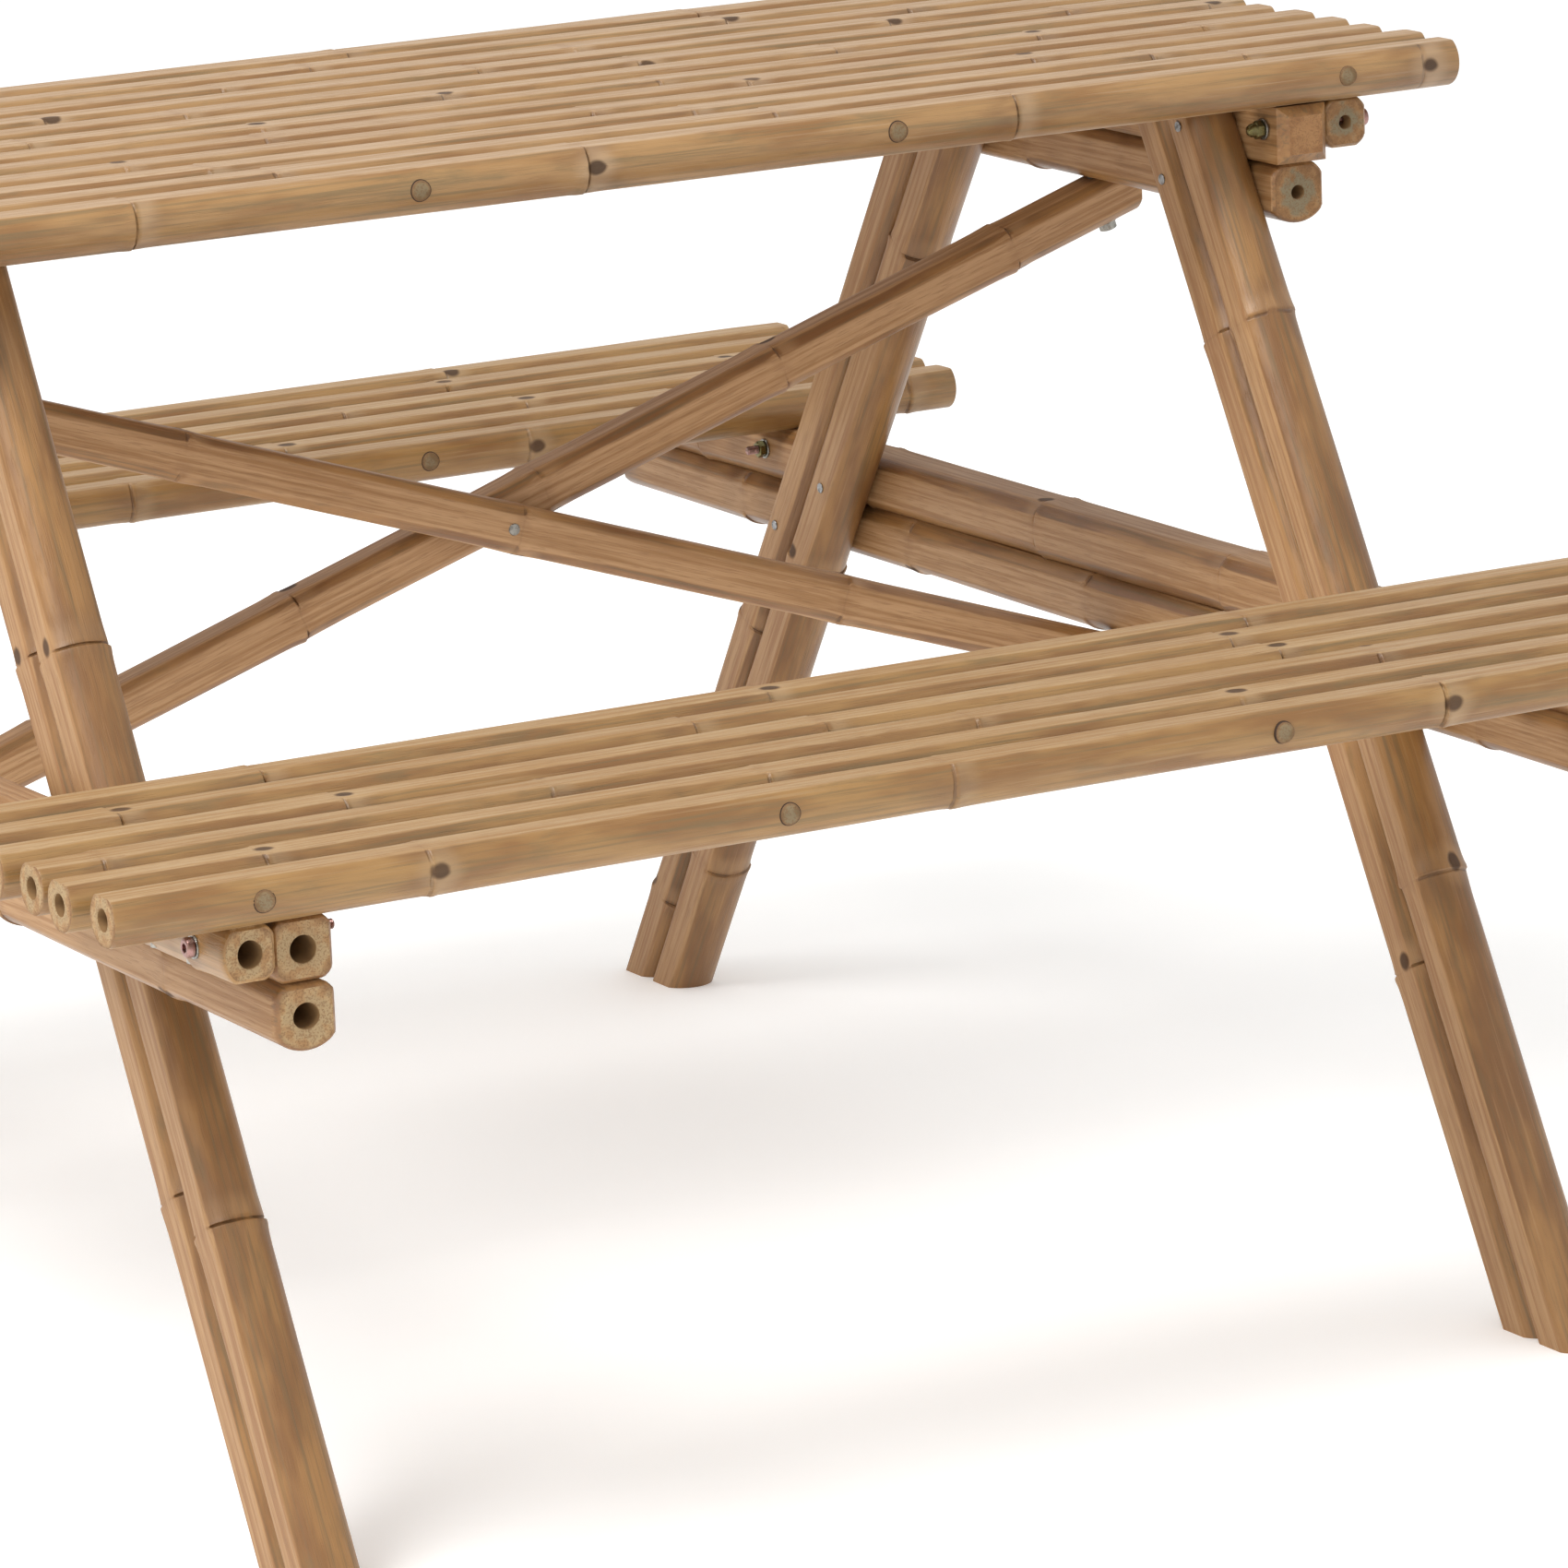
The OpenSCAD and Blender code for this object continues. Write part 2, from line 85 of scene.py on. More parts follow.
eye = bpy.data.objects.new("eye", bpy.data.cameras.new("eye"))
eye.data.lens = 199.69
eye.data.sensor_width = 36
eye.data.clip_end = 100
facing = Matrix((right, up, -forward)).transposed().to_4x4()
eye.matrix_world = Matrix.Translation((-2.4494, -4.7891, 1.5357)) @ facing
bpy.context.scene.collection.objects.link(eye)
bpy.context.scene.camera = eye
print("the camera stands", round(eye.matrix_world.translation.length, 2), "m from the table")

# %% [markdown]
# # Studio
# Cane shows its roundness best in broad soft light with one side a little stronger. A white world
# fills the shadows, one large lamp hangs up to the left as the key, and a weaker one lifts the
# front. The floor is one big pale plate, made by growing a single grid square.

# %% Floor and lamps
def lamp(name, place, aim, size, watts):
    """A square soft lamp at place that shines at aim."""
    light = bpy.data.lights.new(name, "AREA")
    light.size, light.energy = size, watts
    made = bpy.data.objects.new(name, light)
    turn = (Vector(aim) - Vector(place)).to_track_quat("-Z", "Y")
    made.matrix_world = Matrix.Translation(place) @ turn.to_matrix().to_4x4()
    bpy.context.scene.collection.objects.link(made)


lamp("key", (-3.0, -1.2, 4.6), (0, 0, 0.4), 2.6, 240)
lamp("fill", (1.5, -5.5, 2.6), (0, 0, 0.4), 3.5, 15)

world = bpy.data.worlds.new("studio")
world.use_nodes = True
world.node_tree.nodes["Background"].inputs["Color"].default_value = (1, 1, 1, 1)
world.node_tree.nodes["Background"].inputs["Strength"].default_value = 0.85
bpy.context.scene.world = world
bpy.context.scene.view_settings.view_transform = "Standard"

# %% [markdown]
# # Wiring a finish
# A procedural material is a small program made of nodes. Two helpers keep it readable: Wire wraps
# one socket, so that `1 - mask` adds its own Math node, and Finish holds one material and adds any
# other node through one method that takes its type, its settings and its inputs.

# %% Shader helpers
def tint(code):
    """A web colour as the linear values that Blender mixes."""
    parts = [int(code[i:i + 2], 16) / 255 for i in (1, 3, 5)]
    return tuple(p / 12.92 if p <= 0.04045 else ((p + 0.055) / 1.055) ** 2.4 for p in parts) + (1,)


class Wire:
    """One output socket, with arithmetic."""

    def __init__(self, finish, socket):
        self.finish, self.socket = finish, socket

    def out(self, name):
        return Wire(self.finish, self.socket.node.outputs[name])

    def sums(self, operation, *terms):
        return self.finish.node("ShaderNodeMath", {"operation": operation}, dict(enumerate(terms)))

    def __add__(self, other):
        return self.sums("ADD", self, other)

    def __sub__(self, other):
        return self.sums("SUBTRACT", self, other)

    def __rsub__(self, other):
        return self.sums("SUBTRACT", other, self)

    def __mul__(self, other):
        return self.sums("MULTIPLY", self, other)

    def __truediv__(self, other):
        return self.sums("DIVIDE", self, other)

    def __abs__(self):
        return self.sums("ABSOLUTE", self)

    __radd__, __rmul__ = __add__, __mul__


class Finish:
    """A material with a Principled shader, wired up step by step."""

    def __init__(self, name):
        self.material = bpy.data.materials.new(name)
        self.material.use_nodes = True
        self.tree = self.material.node_tree
        self.shader = self.tree.nodes["Principled BSDF"]

    def feed(self, socket, value):
        if isinstance(value, Wire):
            self.tree.links.new(value.socket, socket)
        else:
            socket.default_value = value

    def node(self, kind, settings=None, values=None, out=0):
        made = self.tree.nodes.new(kind)
        for key, value in (settings or {}).items():
            setattr(made, key, value)
        for key, value in (values or {}).items():
            self.feed(made.inputs[key], value)
        return Wire(self, made.outputs[out])

    def attribute(self, name):
        return self.node("ShaderNodeAttribute", {"attribute_name": name}, out="Vector")

    def noise(self, where, factors, detail=3.0, rough=0.5):
        """Noise with factors cells to the metre along x, y and z."""
        stretched = self.node("ShaderNodeVectorMath", {"operation": "MULTIPLY"}, {0: where, 1: factors})
        return self.node("ShaderNodeTexNoise", {},
                         {"Vector": stretched, "Scale": 1.0, "Detail": detail, "Roughness": rough})

    def rise(self, value, low, high):
        """0 below low, 1 above high, with a soft step between."""
        return self.node("ShaderNodeMapRange", {"interpolation_type": "SMOOTHSTEP"},
                         {0: value, 1: low, 2: high})

    def blend(self, mask, under, over):
        return self.node("ShaderNodeMix", {"data_type": "RGBA"}, {0: mask, 6: under, 7: over}, out=2)

    def done(self, colour, roughness, height=None, depth=0.0004, metallic=0.0, **fixed):
        self.feed(self.shader.inputs["Base Color"], colour)
        self.feed(self.shader.inputs["Roughness"], roughness)
        self.feed(self.shader.inputs["Metallic"], metallic)
        if height is not None:
            bump = self.node("ShaderNodeBump", {}, {"Height": height, "Distance": depth, "Strength": 1.0})
            self.feed(self.shader.inputs["Normal"], bump)
        for name, value in fixed.items():
            self.shader.inputs[name.replace("_", " ")].default_value = value
        return self.material


floor_finish = Finish("studio_floor").done(tint("#FCFCFB"), 0.9, Emission_Color=(1, 1, 1, 1),
                                           Emission_Strength=0.16)
floor = bmesh.new()
bmesh.ops.create_grid(floor, x_segments=1, y_segments=1, size=14)
floor_mesh = bpy.data.meshes.new("floor")
floor.to_mesh(floor_mesh)
floor_object = bpy.data.objects.new("floor", floor_mesh)
floor_mesh.materials.append(floor_finish)
bpy.context.scene.collection.objects.link(floor_object)
floor_object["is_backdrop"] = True
print("the floor is", floor_mesh.name, "with", floor_finish.name)

# %% [markdown]
# # What cane looks like
# Split a pole and there are three surfaces: the glossy skin, the paler wood that a plane uncovers,
# and the porous cut end. Everything follows the pole, so each vertex of a pole will carry where it
# is along and across its own pole (grain), where the rings of that pole fall and a number that
# makes it unlike its neighbours (cane), which side its buds grow on and how thick it is (bud), and
# how deep it lies under the planed faces (shave). The finishes read only those four.

# %% Cane skin and planed wood
def pole_position(f):
    """Where a point is on its own pole, and the same shifted so that no two poles match."""
    grain, cane = f.attribute("grain"), f.attribute("cane")
    ring, seed = f.node("ShaderNodeSeparateXYZ", {}, {0: cane}), None
    seed = ring.out("Z")
    away = f.node("ShaderNodeCombineXYZ", {}, {0: seed * 1.7, 1: seed * 0.9, 2: seed * 1.3})
    moved = f.node("ShaderNodeVectorMath", {"operation": "ADD"}, {0: grain, 1: away})
    return grain, moved, ring, seed


def cane_finish(name, light, deep, cloud, planed, fibre, gloss=0.42):
    f = Finish(name)
    grain, moved, ring, seed = pole_position(f)
    along = f.node("ShaderNodeSeparateXYZ", {}, {0: grain})
    side, height = along.out("Y"), along.out("Z")

    # distance from the nearest ring, waved a little, and counted so that buds can change sides
    steps = (along - ring) / ring.out("Y")
    count = steps.sums("ROUND", steps)
    wave = f.noise(moved, (20, 90, 90), 2.0)
    off = (steps - count) * ring.out("Y") + (wave - 0.5) * 0.003
    near = abs(off)
    scar = (1 - f.rise(near, 0.0003, 0.0013)) * f.rise(wave, 0.3, 0.6)
    band = (1 - f.rise(near, 0.002, 0.009)) * f.rise(f.noise(moved, (60, 200, 200), 2.0), 0.35, 0.65)
    wax = f.rise(off, 0.001, 0.004) * (1 - f.rise(off, 0.007, 0.02))
    smudge = (1 - f.rise(near, 0.004, 0.034)) * f.rise(wave, 0.4, 0.62)

    # buds: a dark oval with a pale halo, just above a ring, on alternate sides
    bud = f.node("ShaderNodeSeparateXYZ", {}, {0: f.attribute("bud")})
    turn = f.node("ShaderNodeMath", {"operation": "COSINE"}, {0: count * math.pi})
    facing = (side * bud + height * bud.out("Y")) * turn
    across = height * bud - side * bud.out("Y")
    oval = (off - 0.005) / 0.0075
    oval = oval.sums("SQRT", oval * oval + across * across * 30000) + (wave - 0.5) * 0.7
    seen = f.rise(facing, 0.003, 0.008)
    knot = (1 - f.rise(oval, 0.55, 1.0)) * seen
    halo = (1 - f.rise(oval, 1.0, 2.6)) * seen

    # the skin: broad clouds, long streaks, old stains
    clouds = f.noise(moved, (9, 45, 45), 3.0, 0.6)
    streaks = f.noise(moved, (7, 330, 330), 3.0, 0.6)
    fibres = f.noise(moved, (45, 1700, 1700), 2.0)
    stains = f.noise(moved, (16, 70, 70), 4.0, 0.65)
    skin = f.blend(f.rise(clouds, 0.35, 0.65), light, deep)
    skin = f.blend(f.rise(streaks, 0.48, 0.7) * 0.65, skin, cloud)
    skin = f.blend(f.rise(stains, 0.54, 0.72) * 0.5, skin, cloud)
    skin = f.blend((1 - f.rise(streaks, 0.28, 0.42)) * 0.35, skin, planed)
    skin = f.blend(wax * 0.45, skin, planed)
    skin = f.blend(smudge * 0.5, skin, tint("#6B4A2C"))

    # the planed wood: pale, with the cut ends of fibres as short dark dashes
    dashes = f.rise(f.noise(moved, (60, 1150, 1150), 1.0), 0.56, 0.7)
    wood = f.blend(f.rise(streaks, 0.35, 0.68), planed, fibre)
    wood = f.blend(dashes * 0.5, wood, tint("#8E6740"))
    wood = f.blend(f.rise(stains, 0.58, 0.78) * 0.35, wood, deep)

    shave = f.node("ShaderNodeAttribute", {"attribute_name": "shave"}, out="Fac")
    skinned = f.rise(shave + (stains - 0.5) * 0.0016 + (streaks - 0.5) * 0.0012, 0.0002, 0.0011)
    colour = f.blend(skinned, wood, skin)
    colour = f.blend(scar * (0.1 + skinned * 0.45), colour, tint("#4A3120"))
    colour = f.blend(band * (1 - skinned) * 0.25, colour, tint("#7A4F2C"))
    colour = f.blend((halo - knot) * 0.4, colour, planed)
    colour = f.blend(knot * 0.9, colour, tint("#38220F"))
    shade = f.node("ShaderNodeMath", {"operation": "FRACT"}, {0: seed * 7.31})
    colour = f.blend(shade * 0.3, colour, f.blend(0.55, colour, deep))

    relief = (streaks * 0.35 + fibres * 0.25 + clouds * 0.5 - scar * (0.2 + skinned * 0.7)
              - knot * 0.8 - dashes * 0.2)
    gloss_now = gloss + 0.22 * (1 - skinned) + (streaks - 0.5) * 0.25 + knot * 0.35
    return f.done(colour, gloss_now, relief, 0.0005, Coat_Weight=0.12, Coat_Roughness=0.3)


finishes = {
    "top_cane": cane_finish("top_cane", tint("#A07B4D"), tint("#865F34"), tint("#6F5E3E"), tint("#AF9373"),
                            tint("#9D7B54")),
    "bench_cane": cane_finish("bench_cane", tint("#9C7745"), tint("#80592E"), tint("#6C5B3A"),
                              tint("#AA8D67"), tint("#997447")),
    "dowel_cane": cane_finish("dowel_cane", tint("#997749"), tint("#7B5932"), tint("#69593C"),
                              tint("#A58862"), tint("#8E6B41")),
    "batten_cane": cane_finish("batten_cane", tint("#A17947"), tint("#825C31"), tint("#705C3B"),
                               tint("#B19066"), tint("#9C7547")),
    "leg_cane": cane_finish("leg_cane", tint("#9B7140"), tint("#79522A"), tint("#665334"), tint("#AB855A"),
                            tint("#926840")),
    "bearer_cane": cane_finish("bearer_cane", tint("#9E7343"), tint("#7A522D"), tint("#665337"),
                               tint("#AD875D"), tint("#92693E")),
    "brace_cane": cane_finish("brace_cane", tint("#A57948"), tint("#7D532D"), tint("#6B583B"),
                              tint("#B68E63"), tint("#966C40")),
}
print("cane finishes:", sorted(finishes))

# %% [markdown]
# # Cut ends and bores
# A cut end is dense near the skin and open towards the hollow, dotted with the tubes that carried
# water, and weather turns some of them grey round the bore. The inside of the hollow is a papery
# brown, mottled lighter and darker.

# %% Cut ends and bores
def end_finish(name, pale, rim, heart, spread=0.45):
    f = Finish(name)
    grain, moved, ring, seed = pole_position(f)
    along = f.node("ShaderNodeSeparateXYZ", {}, {0: grain})
    side, height = along.out("Y"), along.out("Z")
    out = side.sums("SQRT", side * side + height * height)
    thick = f.node("ShaderNodeSeparateXYZ", {}, {0: f.attribute("bud")}).out("Z")
    edge = f.rise(out / thick, 0.72, 1.0)
    tubes = f.rise(f.noise(moved, (10, 900, 900), 2.0), 0.5, 0.64)
    patches = f.noise(moved, (30, 120, 120), 3.0)
    colour = f.blend(f.rise(patches, 0.35, 0.65), pale, rim)
    colour = f.blend((1 - f.rise(out / thick + (patches - 0.5) * 1.6, spread, spread + 0.35)) * 0.8, colour,
                     heart)
    colour = f.blend(tubes * 0.55, colour, tint("#7A5633"))
    colour = f.blend(edge * 0.65, colour, tint("#6E4A2A"))
    return f.done(colour, 0.75, tubes * -0.5 + patches * 0.4, 0.0004)


def bore_finish():
    f = Finish("bore")
    grain, moved, ring, seed = pole_position(f)
    papery = f.noise(moved, (90, 160, 160), 4.0)
    colour = f.blend(papery, tint("#6B4D30"), tint("#A98556"))
    return f.done(colour, 0.85, papery, 0.0006)


pale_end = end_finish("cut_end", tint("#B1946A"), tint("#98734A"), tint("#9C8460"))
tan_end = end_finish("tan_end", tint("#A5794C"), tint("#8A6038"), tint("#9A7046"))
grey_end = end_finish("weathered_end", tint("#A0784C"), tint("#856039"), tint("#746F58"), 0.4)
dowel_end = end_finish("dowel_end", tint("#8C7350"), tint("#6F5838"), tint("#7B6B50"))
bore = bore_finish()
print("end finishes:", pale_end.name, tan_end.name, grey_end.name, dowel_end.name, bore.name)

# %% [markdown]
# # Metal
# The nuts are yellow plated steel gone olive, the bolts have a pink sheen, the washers and screws
# are white plated, and the nails are plain steel gone dull. Metal needs little colour: fine
# scratches that vary the roughness, and a few dull patches, do most of the work.

# %% Metal finishes
def metal_finish(name, bright, dull, smooth=0.28, patch=0.5):
    f = Finish(name)
    where = f.node("ShaderNodeTexCoord", out="Object")
    patches = f.noise(where, (240, 240, 240), 3.0, 0.6)
    scratches = f.noise(where, (900, 900, 3000), 2.0)
    worn = f.rise(patches, 0.45, 0.7) * patch
    return f.done(f.blend(worn, bright, dull), smooth + worn * 0.35 + (scratches - 0.5) * 0.15, scratches,
                  0.0001, metallic=1 - worn * 0.4)


finishes["yellow_zinc"] = metal_finish("yellow_zinc", tint("#77704A"), tint("#54492F"))
finishes["pink_zinc"] = metal_finish("pink_zinc", tint("#A07C76"), tint("#75604B"), patch=0.7)
finishes["bright_zinc"] = metal_finish("bright_zinc", tint("#96938C"), tint("#55504A"))
finishes["nail_steel"] = metal_finish("nail_steel", tint("#9C9C9C"), tint("#4F4841"), 0.35, 0.8)
finishes["screw_steel"] = metal_finish("screw_steel", tint("#A8A49C"), tint("#5C574F"), 0.35)
# painted shadow: a flat dark colour for the shade inside the hairline gap round each dowel end
painted_gap_shadow = Finish("painted_gap_shadow").done(tint("#3A281A"), 0.9)
print("finishes so far:", len(finishes))

# %% [markdown]
# # Turning on the lathe
# Poles, dowels, bolts and washers are all round, so one helper serves for all. It grows a chain of
# vertices, one for each step of the outline, and spins the chain once about the X axis. The spin
# closes itself when use_merge is on; where the outline touches the axis, the copies are merged.

# %% Lathe
def turned(outline, steps=40):
    """A closed round shape about X, from (x, radius) points."""
    bm = bmesh.new()
    tip = bm.verts.new((outline[0][0], 0, outline[0][1]))
    for x, radius in outline[1:]:
        tip = bmesh.ops.extrude_vert_indiv(bm, verts=[tip])["verts"][0]
        tip.co = (x, 0, radius)
    bmesh.ops.spin(bm, geom=bm.verts[:] + bm.edges[:], cent=(0, 0, 0), axis=(1, 0, 0), angle=2 * math.pi,
                   steps=steps, use_merge=True)
    bmesh.ops.remove_doubles(bm, verts=bm.verts, dist=1e-6)
    bmesh.ops.recalc_face_normals(bm, faces=bm.faces)
    return bm


sample = turned([(0, 0), (0, 0.01), (0.02, 0.01), (0.02, 0)])
print("a turned disc has", len(sample.verts), "vertices")
sample.free()

# %% [markdown]
# # The outline of a cane
# Bamboo swells at each ring: a low collar rises towards it, a sharp scar line runs round where
# the leaf sheath grew, and the stem is a touch thinner beyond. Rings are spaced evenly enough
# along one pole to use one spacing for it. Between rings the outline needs few points, so they
# are crowded only where the shape changes.

# %% One cane
# a squared pole starts as a round one with this radius, and its skin counts as this radius, both
# as shares of its width
CORNER = 0.58
SKINNED = 0.54
RING = [(-16, 0), (-10, 0.12), (-6, 0.4), (-3, 0.85), (-1.3, 0.75), (0, -0.3), (1, 0.5), (2.4, 0.3),
        (5, 0.2), (9, 0.06), (15, 0)]
SKIN, CUT, HOLLOW = 0, 1, 2


def grow(name, length, ring=None, spacing=None, bud=None):
    """The character of one pole: its rings, its buds and its own small faults."""
    chance = random.Random(name)
    spacing = spacing or chance.uniform(0.25, 0.34)
    ring = chance.uniform(0, spacing) if ring is None else ring
    bud = chance.uniform(0, 2 * math.pi) if bud is None else bud
    rings = [ring + k * spacing for k in range(-8, 9) if 0.028 < ring + k * spacing < length - 0.028]
    return {"ring": ring, "spacing": spacing, "bud": bud, "rings": rings, "seed": chance.uniform(0, 9),
            "taper": chance.uniform(-0.02, 0.02),
            "flip": chance.choice((-1, 1)),
            "bend": (chance.uniform(-0.0008, 0.0008), chance.uniform(-0.0006, 0.0006)), "length": length}


def cane(culm, radius, hole, bevel=1.2 * MM, depth=0.035, swell=1.0):
    """A hollow cane along X from 0, not yet planed; hole is the radius of its bore."""
    length = culm["length"]

    def at(x):
        # each stretch between rings is a little thicker at one end, so the outline steps at a ring
        step = ((x - culm["ring"]) / culm["spacing"] % 1 - 0.5) * culm["flip"] * swell * MM
        waver = 0.0002 * math.sin(19 * x + culm["seed"])
        return radius * (1 + culm["taper"] * (x / length - 0.5)) + waver + step * 0.9

    stations = [(r + culm["flip"] * dx * MM, dr * MM * swell * (0.8 + 0.4 * math.sin(k + culm["seed"]) ** 2))
                for k, r in enumerate(culm["rings"]) for dx, dr in RING]
    stations += [(x, 0) for x in (bevel * 3 + 0.036 * k for k in range(int(length / 0.036)))
                 if x < length - 3 * bevel and all(abs(x - r) > 0.019 for r in culm["rings"])]
    start = [(depth, 0), (depth, hole), (0.5 * MM, hole),
             (0, hole + 0.5 * MM)] if hole else [(0, 0), (0, radius * 0.4)]
    start += [(0, at(0) - bevel - 0.8 * MM), (0, at(0) - bevel), (bevel * 0.3, at(0) - bevel * 0.3),
              (bevel, at(0))]
    body = [(x, at(x) + dr) for x, dr in sorted(stations) if 1.5 * bevel < x < length - 1.5 * bevel]
    bm = turned(start + body + [(length - x, r + at(length) - at(0) if r > hole + MM else r)
                                for x, r in reversed(start)], 48)
    for face in bm.faces:
        middle = face.calc_center_median()
        out = math.hypot(middle.y, middle.z)
        if hole and out < hole + 0.1 * MM:
            face.material_index = HOLLOW
        elif min(middle.x, length - middle.x) < 0.3 * MM:
            face.material_index = CUT
    for v in bm.verts:
        swing = math.sin(math.pi * v.co.x / length)
        v.co.y += culm["bend"][0] * swing
        v.co.z += culm["bend"][1] * swing
    return bm


print("a 1.15 m cane gets rings at", [round(r, 2) for r in grow("sample", 1.15)["rings"]])

# %% [markdown]
# # Planing and sawing
# A plane takes a flat off the cane, on some sides or on all four. The lathe left even rows of
# vertices, so pressing every vertex that stands beyond the flat down onto it keeps the mesh tidy,
# and the row beside the flat makes the eased edge that sandpaper gives. Sides that keep their skin
# are only drawn in a little, so that they don't stand out past the flats. A saw cut is sharper:
# bisect_plane clears everything beyond it, and because the rim has an inner loop round the hollow,
# triangle_fill closes it, which is the operator that leaves such a hole open.

# %% Plane and saw
def cut_away(bm, point, normal):
    cut = bmesh.ops.bisect_plane(bm, geom=bm.verts[:] + bm.edges[:] + bm.faces[:], dist=1e-7,
                                 plane_co=point, plane_no=normal, clear_outer=True)
    return [e for e in cut["geom_cut"] if isinstance(e, bmesh.types.BMEdge)]


def saw(bm, point, normal):
    made = bmesh.ops.triangle_fill(bm, use_beauty=True, edges=cut_away(bm, point, normal), normal=normal)
    for face in made["geom"]:
        if isinstance(face, bmesh.types.BMFace):
            face.material_index = CUT


ALL_ROUND = ("-y", "+y", "-z", "+z")


def square_up(bm, culm, width, planed=ALL_ROUND, slope=0.0):
    """Flattens some sides of a pole and leaves the others round but no wider.

    The flats swell softly near the rings, as on cane planed by hand, and slope off over the last
    stretch at both ends.
    """
    for v in bm.verts:
        ring = min((abs(v.co.x - r) for r in culm["rings"]), default=1)
        reach = width / 2 + 0.8 * MM * math.exp(-(ring / (16 * MM)) ** 2)
        reach -= max(0, slope - min(v.co.x, culm["length"] - v.co.x))
        for axis, letter in ((1, "y"), (2, "z")):
            way = "+" if v.co[axis] > 0 else "-"
            if way + letter in planed:
                v.co[axis] = max(-reach, min(reach, v.co[axis]))
            else:
                v.co[axis] *= 0.5 / CORNER


def plane_slat(bm, top, under):
    for v in bm.verts:
        v.co.z = max(under, min(top, v.co.z))


print("cutting tools ready")

# %% [markdown]
# # Finishing a piece
# The four values that the finishes read are written on the vertices while the pole still lies
# along X. Only then is it moved to its place, inside its mesh, so that the object itself stays at
# the origin. Smooth shading with sharp edges by angle keeps saw cuts crisp and skin round.

# %% Make the object
def keep(name, bm, slot, materials, *stands_for):
    """Turns a finished bmesh into a piece of the table."""
    for face in bm.faces:
        face.smooth = True
    mesh = bpy.data.meshes.new(name)
    bm.to_mesh(mesh)
    bm.free()
    mesh.set_sharp_from_angle(angle=math.radians(36))
    for material in materials:
        mesh.materials.append(material)
    made = bpy.data.objects.new(name, mesh)
    bpy.context.scene.collection.objects.link(made)
    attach(made, "root")
    if stands_for:
        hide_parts(*stands_for)
    return made


def mark(bm, culm, radius, flats):
    """Writes the pole's own coordinates and character on its vertices.

    flats maps each planed side, such as +z, to its distance from the axis.
    """
    grain, kind, side = (bm.verts.layers.float_vector.new(n) for n in ("grain", "cane", "bud"))
    shave = bm.verts.layers.float.new("shave")
    for v in bm.verts:
        v[grain] = v.co
        v[kind] = (culm["ring"], culm["spacing"], culm["seed"])
        v[side] = (math.cos(culm["bud"]), math.sin(culm["bud"]), radius)
        v[shave] = min([flat - v.co["xyz".index(side[1])] * (1 if side[0] == "+" else -1)
                        for side, flat in flats.items()], default=0.1)


def keep_cane(name, bm, culm, radius, place, slot, end, flats):
    bmesh.ops.recalc_face_normals(bm, faces=bm.faces)
    mark(bm, culm, radius, flats)
    bmesh.ops.transform(bm, matrix=place, verts=bm.verts)
    return keep(name + "_cane", bm, slot, [finishes[slot], end, bore], name)


print("ready to make pieces")

# %% [markdown]
# # Slats
# Twelve slats make the top and six make each bench. Each one is a whole cane with its top planed
# flat, so that a plate stands level, and a skim off its underside where it sits on the battens.
# The slats that are seen best have their rings put where the real ones are, and the others grow
# theirs by chance.

# %% Slats
SKIM = 1 * MM
SLAT_BORE = 6.5 * MM
KNOWN_RINGS = {"top_slat_01": (-0.050, 0.298, 3.1), "front_slat_1": (-0.056, 0.331, -0.05),
               "front_slat_2": (0.165, 0.314, None),
               "front_slat_3": (0.015, 0.277, None), "front_slat_4": (0.252, 0.31, None),
               "front_slat_5": (0.247, 0.366, None),
               "front_slat_6": (0.286, 0.33, None), "rear_slat_6": (-0.060, 0.3, None)}


def slat(node, slot):
    lo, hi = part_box(node)
    radius = (hi.y - lo.y) / 2
    middle = Vector((lo.x, (lo.y + hi.y) / 2, lo.z - SKIM + radius))
    ring, spacing, bud = KNOWN_RINGS.get(node, (None, None, None))
    culm = grow(node, hi.x - lo.x, None if ring is None else ring - lo.x, spacing, bud)
    bm = cane(culm, radius, SLAT_BORE, swell=1.1)
    top, under = hi.z - middle.z, lo.z - middle.z
    plane_slat(bm, top, under)
    return keep_cane(node, bm, culm, radius, Matrix.Translation(middle), slot, pale_end,
                     {"+z": top, "-z": -under})


for i in range(12):
    slat("top_slat_%02d" % (i + 1), "top_cane")
for i in range(6):
    slat("front_slat_%d" % (i + 1), "bench_cane")
    slat("rear_slat_%d" % (i + 1), "bench_cane")

# %% [markdown]
# # Squared poles
# Battens and bearers are thicker canes, planed where they meet another piece and round elsewhere,
# laid across the table. Their ends are bevelled with a knife. The lower top bearer is trimmed in a
# long slope under its rear end, so that nobody's knees meet it.

# %% Battens and bearers
LAID_ACROSS = Matrix.Rotation(math.pi / 2, 4, "Z")


def crosspiece(node, slot, hole, planed, knife=2 * MM, slope=0.0, end=pale_end, corner=CORNER):
    lo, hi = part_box(node)
    width = hi.x - lo.x
    place = Matrix.Translation(((lo.x + hi.x) / 2, lo.y, (lo.z + hi.z) / 2)) @ LAID_ACROSS
    culm = grow(node, hi.y - lo.y, spacing=0.2 + 0.01 * (len(node) % 5))
    bm = cane(culm, width * corner, hole, 2 * MM)
    square_up(bm, culm, width, planed, knife)
    if slope:
        tilt = Vector((0, math.sin(slope), -math.cos(slope)))
        back = place.inverted()
        saw(bm, back @ Vector((lo.x, hi.y - 52 * MM, lo.z)), back.to_3x3() @ tilt)
    return keep_cane(node, bm, culm, width * SKINNED, place, slot, end,
                     {letter: width / 2 for letter in planed})


